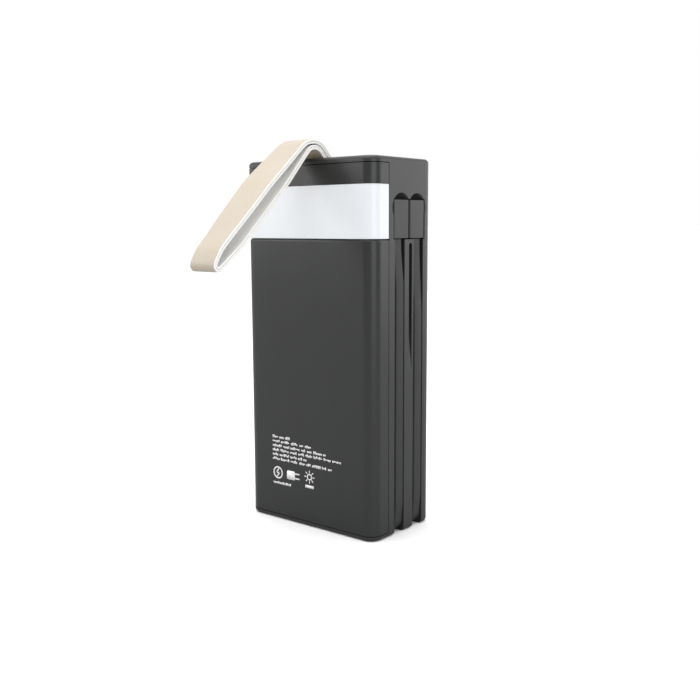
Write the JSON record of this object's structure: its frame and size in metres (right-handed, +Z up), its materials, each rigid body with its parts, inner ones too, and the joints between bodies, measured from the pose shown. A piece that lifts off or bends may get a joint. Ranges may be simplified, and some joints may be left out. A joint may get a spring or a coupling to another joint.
{
  "type": "power bank",
  "caption": "Upright portable power bank with a wrap-round side lamp, two built-in flat charging cables in side channels and a leather hand strap.",
  "frame": {"origin": "centre of the base, on the surface it stands on", "axes": "+Z up, -Y out of the lamp face, +X out of the side with the built-in cables"},
  "size_m": [0.068, 0.095, 0.1571],
  "materials": {
    "button_plastic": "satin black with a turned face",
    "cable_sheath": "soft matt elastomer",
    "can_metal": "bright drawn can",
    "case_plastic": "fine satin moulded ABS with a soft sheen",
    "cell_pouch": "matt laminated foil",
    "component_black": "moulded black epoxy",
    "cover_plastic": "fine satin moulded ABS with a soft sheen",
    "diffuser": "satin milky polycarbonate",
    "display_plastic": "dark smoked gloss",
    "ferrite": "sintered grey ferrite",
    "foam": "soft closed-cell foam",
    "green_board": "green solder mask",
    "grommet_rubber": "soft matt rubber",
    "leather": "smooth beige leather with a fine grain",
    "led": "clear resin over yellow phosphor",
    "lining": "off-white microfibre lining",
    "plug_metal": "bright nickel plate",
    "plug_plastic": "satin moulded elastomer",
    "port_metal": "bright nickel plated steel",
    "port_tongue": "black moulded",
    "reflector": "bright white moulded",
    "screw_steel": "black zinc",
    "steel": "plain drawn steel",
    "tab_metal": "plain nickel strip",
    "white_board": "white solder mask"
  },
  "bodies": {
    "case": {"battery_cell_1": "cell_pouch", "battery_cell_2": "cell_pouch", "battery_cell_3": "cell_pouch", "board_chips": "component_black", "board_screws": "screw_steel", "cable_board": "green_board", "capacitors": "can_metal", "cell_foam": "foam", "cell_tabs": "tab_metal", "display_module": "component_black", "display_window": "display_plastic", "eight_pin_cable": "cable_sheath", "eight_pin_grommet": "grommet_rubber", "eight_pin_in_port_shell": "port_metal", "front_cover": "cover_plastic", "lamp_diffuser": "diffuser", "lamp_leds": "led", "lamp_reflector": "reflector", "led_board": "white_board", "main_board": "green_board", "micro_usb_port_shell": "port_metal", "micro_usb_port_tongue": "port_tongue", "power_inductor": "ferrite", "protection_board": "green_board", "rear_shell": "case_plastic", "strap_pin": "steel", "tact_switch": "component_black", "usb_a_port_shell": "port_metal", "usb_a_port_tongue": "port_tongue", "usb_c_cable": "cable_sheath", "usb_c_grommet": "grommet_rubber", "usb_c_in_port_shell": "port_metal", "usb_c_in_port_tongue": "port_tongue"},
    "strap_root": {"strap_root_leather": "leather", "strap_root_lining": "lining"},
    "strap_loop": {"strap_loop_leather": "leather", "strap_loop_lining": "lining"},
    "usb_c_plug": {"usb_c_plug_head": "plug_plastic", "usb_c_plug_tip": "plug_metal"},
    "eight_pin_plug": {"eight_pin_plug_head": "plug_plastic", "eight_pin_plug_tip": "plug_metal"},
    "button": {"power_button": "button_plastic"}
  },
  "joints": [
    {"name": "strap_swing", "type": "hinge", "parent": "case", "child": "strap_root", "pos_m": [0, -0.0096, 0.1467], "axis": [-1, 0, 0], "range_deg": [-3, 90]},
    {"name": "strap_bend", "type": "hinge", "parent": "strap_root", "child": "strap_loop", "pos_m": [0, -0.02072, 0.1571], "axis": [-1, 0, 0], "range_deg": [0, 85]},
    {"name": "usb_c_plug_tip_out", "type": "hinge", "parent": "case", "child": "usb_c_plug", "pos_m": [0.034, -0.0018, 0.1337], "axis": [0, -1, 0], "range_deg": [0, 25]},
    {"name": "eight_pin_plug_tip_out", "type": "hinge", "parent": "case", "child": "eight_pin_plug", "pos_m": [0.034, 0.0086, 0.1337], "axis": [0, -1, 0], "range_deg": [0, 25]},
    {"name": "button_press", "type": "slide", "parent": "case", "child": "button", "axis": [0, -1, 0], "range_m": [0, 0.0005], "stiffness_N_per_m": 1500}
  ]
}
